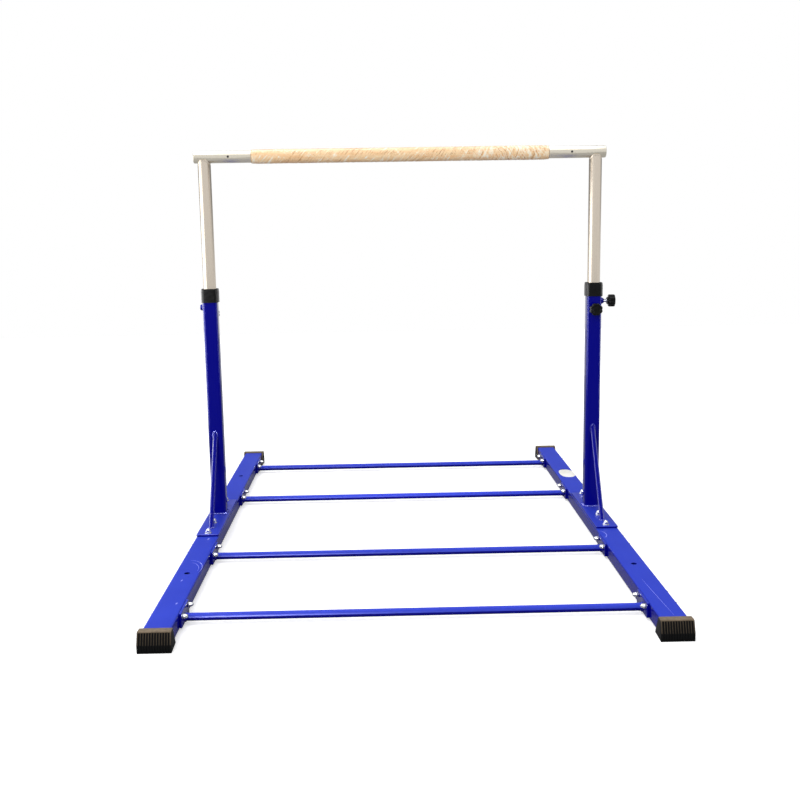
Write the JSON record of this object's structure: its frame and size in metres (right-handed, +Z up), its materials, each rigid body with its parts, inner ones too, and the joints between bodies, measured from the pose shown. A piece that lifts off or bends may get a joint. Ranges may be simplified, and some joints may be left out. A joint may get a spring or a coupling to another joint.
{
  "type": "gymnastics training bar",
  "caption": "Junior gymnastics training bar: a wooden grip on telescoping steel posts, standing on a bolted beam base with rubber end caps.",
  "frame": {"origin": "middle of the floor area that the part covers, at floor level", "axes": "+X along the bar towards the post with the locating knob, +Y along the base beams away from the user, +Z up"},
  "size_m": [1.2633, 1.88, 1.1504],
  "materials": {
    "blue_enamel": "gloss",
    "bright_steel": "polished",
    "zinc_plate": "bright zinc",
    "black_rubber": "matte",
    "black_plastic": "satin",
    "white_nylon": "matte",
    "beech": "smooth",
    "clear_film": "gloss"
  },
  "bodies": {
    "base": {"left_base_beam": "blue_enamel", "right_base_beam": "blue_enamel", "left_front_end_cap": "black_rubber", "left_rear_end_cap": "black_rubber", "right_front_end_cap": "black_rubber", "right_rear_end_cap": "black_rubber", "front_outer_crossbar": "blue_enamel", "front_inner_crossbar": "blue_enamel", "rear_inner_crossbar": "blue_enamel", "rear_outer_crossbar": "blue_enamel", "left_base_plate": "blue_enamel", "right_base_plate": "blue_enamel", "left_plate_bolt_1": "zinc_plate", "left_plate_bolt_2": "zinc_plate", "left_plate_bolt_3": "zinc_plate", "right_plate_bolt_1": "zinc_plate", "right_plate_bolt_2": "zinc_plate", "right_plate_bolt_3": "zinc_plate", "left_upright": "blue_enamel", "right_upright": "blue_enamel", "left_front_brace": "blue_enamel", "left_rear_brace": "blue_enamel", "right_front_brace": "blue_enamel", "right_rear_brace": "blue_enamel", "left_locating_boss": "blue_enamel", "right_locating_boss": "blue_enamel", "left_clamp_boss": "blue_enamel", "right_clamp_boss": "blue_enamel", "left_collar": "black_plastic", "right_collar": "black_plastic"},
    "bar": {"left_riser": "bright_steel", "right_riser": "bright_steel", "left_riser_bush": "white_nylon", "right_riser_bush": "white_nylon", "left_riser_saddle": "bright_steel", "right_riser_saddle": "bright_steel", "left_bar_bolt": "zinc_plate", "right_bar_bolt": "zinc_plate", "bar_core": "bright_steel", "left_bar_end_tube": "bright_steel", "right_bar_end_tube": "bright_steel", "left_bar_end_plug": "bright_steel", "right_bar_end_plug": "bright_steel", "left_set_screw": "zinc_plate", "right_set_screw": "zinc_plate", "bar_grip": "beech", "grip_film": "clear_film"},
    "right_locating_screw": {"right_locating_screw": "zinc_plate"},
    "right_locating_knob": {"right_locating_knob": "black_plastic"},
    "right_clamp_screw": {"right_clamp_screw": "zinc_plate"},
    "right_clamp_knob": {"right_clamp_knob": "black_plastic"},
    "left_clamp_screw": {"left_clamp_screw": "zinc_plate"},
    "left_clamp_knob": {"left_clamp_knob": "black_plastic"}
  },
  "joints": [
    {"name": "bar_height", "type": "slide", "parent": "base", "child": "bar", "axis": [0, 0, 1], "range_m": [-0.2, 0.35]},
    {"name": "right_locating_screw_slide", "type": "slide", "parent": "base", "child": "right_locating_screw", "axis": [-1, 0, 0], "range_m": [0, 0.00951]},
    {"name": "right_locating_knob_turn", "type": "hinge", "parent": "right_locating_screw", "child": "right_locating_knob", "pos_m": [0.6112, 0.035, 0.688], "axis": [-1, 0, 0], "range_deg": [0, 2280]},
    {"name": "right_clamp_screw_slide", "type": "slide", "parent": "base", "child": "right_clamp_screw", "axis": [0, 1, 0], "range_m": [-0.00451, 0.00051]},
    {"name": "right_clamp_knob_turn", "type": "hinge", "parent": "right_clamp_screw", "child": "right_clamp_knob", "pos_m": [0.5671, -0.005, 0.665], "axis": [0, 1, 0], "range_deg": [-1080, 120]},
    {"name": "left_clamp_screw_slide", "type": "slide", "parent": "base", "child": "left_clamp_screw", "axis": [0, -1, 0], "range_m": [-0.00451, 0.00051]},
    {"name": "left_clamp_knob_turn", "type": "hinge", "parent": "left_clamp_screw", "child": "left_clamp_knob", "pos_m": [-0.5929, 0.075, 0.665], "axis": [0, -1, 0], "range_deg": [-1080, 120]}
  ],
  "couplings": [
    {"joint": "right_locating_screw_slide", "follows": "right_locating_knob_turn", "m_per_rad": 0.00023873},
    {"joint": "right_clamp_screw_slide", "follows": "right_clamp_knob_turn", "m_per_rad": 0.00023873},
    {"joint": "left_clamp_screw_slide", "follows": "left_clamp_knob_turn", "m_per_rad": 0.00023873}
  ]
}
